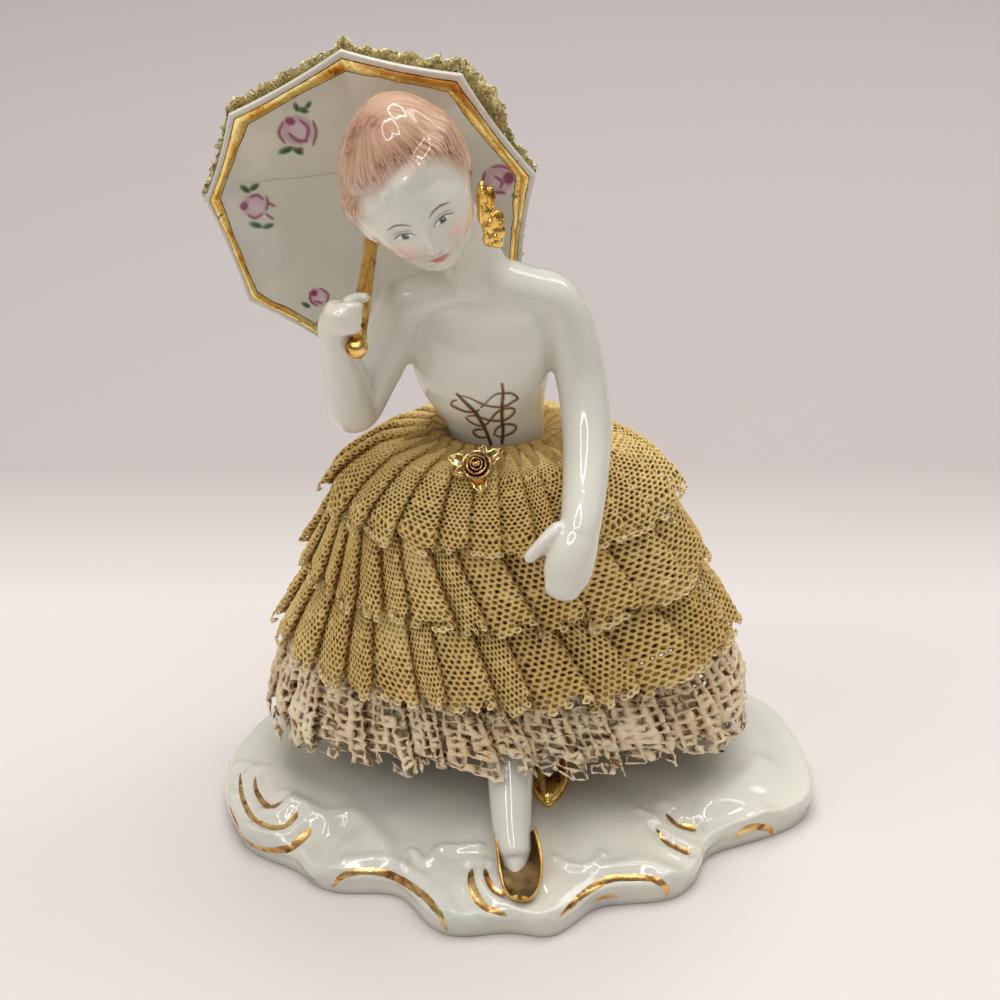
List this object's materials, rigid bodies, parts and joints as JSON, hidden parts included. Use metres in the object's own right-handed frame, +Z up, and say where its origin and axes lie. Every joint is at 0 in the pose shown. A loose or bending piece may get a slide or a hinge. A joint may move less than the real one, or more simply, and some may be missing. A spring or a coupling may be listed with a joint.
{
  "type": "dresden lace figurine",
  "caption": "Seated porcelain lady in a tiered dress of pleated net lace, holding a parasol over her shoulder, on a scrolled oval base; a standing ornament.",
  "frame": {"origin": "middle of the base's flat underside, on the table", "axes": "+Z up, the lady faces -Y, +X is to her left, which is the viewer's right"},
  "size_m": [0.099, 0.0775, 0.1266],
  "materials": {
    "glazed_porcelain": "white hard porcelain under a clear wet-looking glaze, with gold lines and small painted roses",
    "painted_porcelain": "white glazed porcelain skin, salmon brushed hair, painted face, gold corset lacing and slippers",
    "gilt": "burnished gold over glazed porcelain, a little worn",
    "golden_lace": "net lace dipped in slip and fired, matte, old gold",
    "cream_lace": "open patterned lace dipped in slip and fired, matte, pinkish cream"
  },
  "bodies": {
    "root": {"base": "glazed_porcelain", "lady": "painted_porcelain", "skirt_lining": "golden_lace", "skirt_tier_top": "golden_lace", "skirt_tier_middle": "golden_lace", "skirt_tier_lower": "golden_lace", "skirt_hem_lace": "cream_lace", "waist_rose": "gilt", "earring": "gilt", "parasol_handle": "gilt", "parasol_canopy": "glazed_porcelain", "parasol_ruffle": "golden_lace"}
  },
  "joints": []
}
